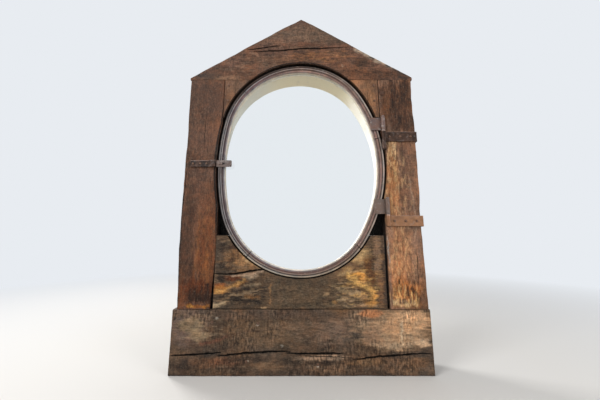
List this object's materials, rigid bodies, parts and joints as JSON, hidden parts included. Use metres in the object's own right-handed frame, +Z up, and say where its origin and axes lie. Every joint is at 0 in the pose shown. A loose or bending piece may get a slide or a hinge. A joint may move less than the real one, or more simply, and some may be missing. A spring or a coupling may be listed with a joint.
{
  "type": "oval casement window",
  "caption": "Oval casement window in a gabled old oak frame, with a moulded glazed sash hung on iron strap hinges and held by a slide latch.",
  "frame": {"origin": "middle of the sill beam's underside, at mid-depth of the timbers", "axes": "+Z up, +X to the right seen from the room, +Y towards the weather side"},
  "size_m": [0.917, 0.127, 1.408],
  "materials": {
    "sill_oak": "old bare oak, grey brown, cracked",
    "rail_oak": "old bare oak with fresh golden spots",
    "post_oak": "old bare oak, warm brown, worn at the foot",
    "head_oak": "old bare oak, reddish brown",
    "board_oak": "old bare oak board, tan, upright grain",
    "dark_oak": "old oak, nearly black",
    "peg_oak": "riven oak",
    "sash_wood": "old dark painted wood, worn",
    "lining_paint": "old cream paint on wood",
    "iron": "wrought iron, brown with old rust",
    "glass": "thin old window glass",
    "putty": "painted linseed putty"
  },
  "bodies": {
    "frame": {"sill_beam": "sill_oak", "lower_rail": "rail_oak", "left_post": "post_oak", "right_post": "post_oak", "head_beam": "head_oak", "left_spandrel": "board_oak", "right_spandrel": "board_oak", "left_corner_block": "dark_oak", "right_corner_block": "dark_oak", "outer_lining": "lining_paint", "frame_pegs": "peg_oak", "square_peg": "dark_oak", "sill_nails": "iron", "spandrel_nails": "iron", "keep_strap": "iron", "keep_nails": "iron", "upper_post_strap": "iron", "lower_post_strap": "iron", "upper_pin": "iron", "lower_pin": "iron", "upper_washer": "iron", "lower_washer": "iron", "strap_nails": "iron"},
    "sash": {"sash_top": "sash_wood", "sash_left": "sash_wood", "sash_bottom": "sash_wood", "sash_right": "sash_wood", "sash_pegs": "sash_wood", "glass_pane": "glass", "glazing_putty": "putty", "upper_sash_leaf": "iron", "lower_sash_leaf": "iron", "leaf_screws": "iron", "latch_studs": "iron"},
    "latch": {"latch_bar": "iron"}
  },
  "joints": [
    {"name": "sash_swing", "type": "hinge", "parent": "frame", "child": "sash", "pos_m": [0.325, -0.064, 0.752], "axis": [0, 0, 1], "range_deg": [0, 100]},
    {"name": "latch_slide", "type": "slide", "parent": "sash", "child": "latch", "axis": [-1, 0, 0], "range_m": [0, 0.012]}
  ]
}
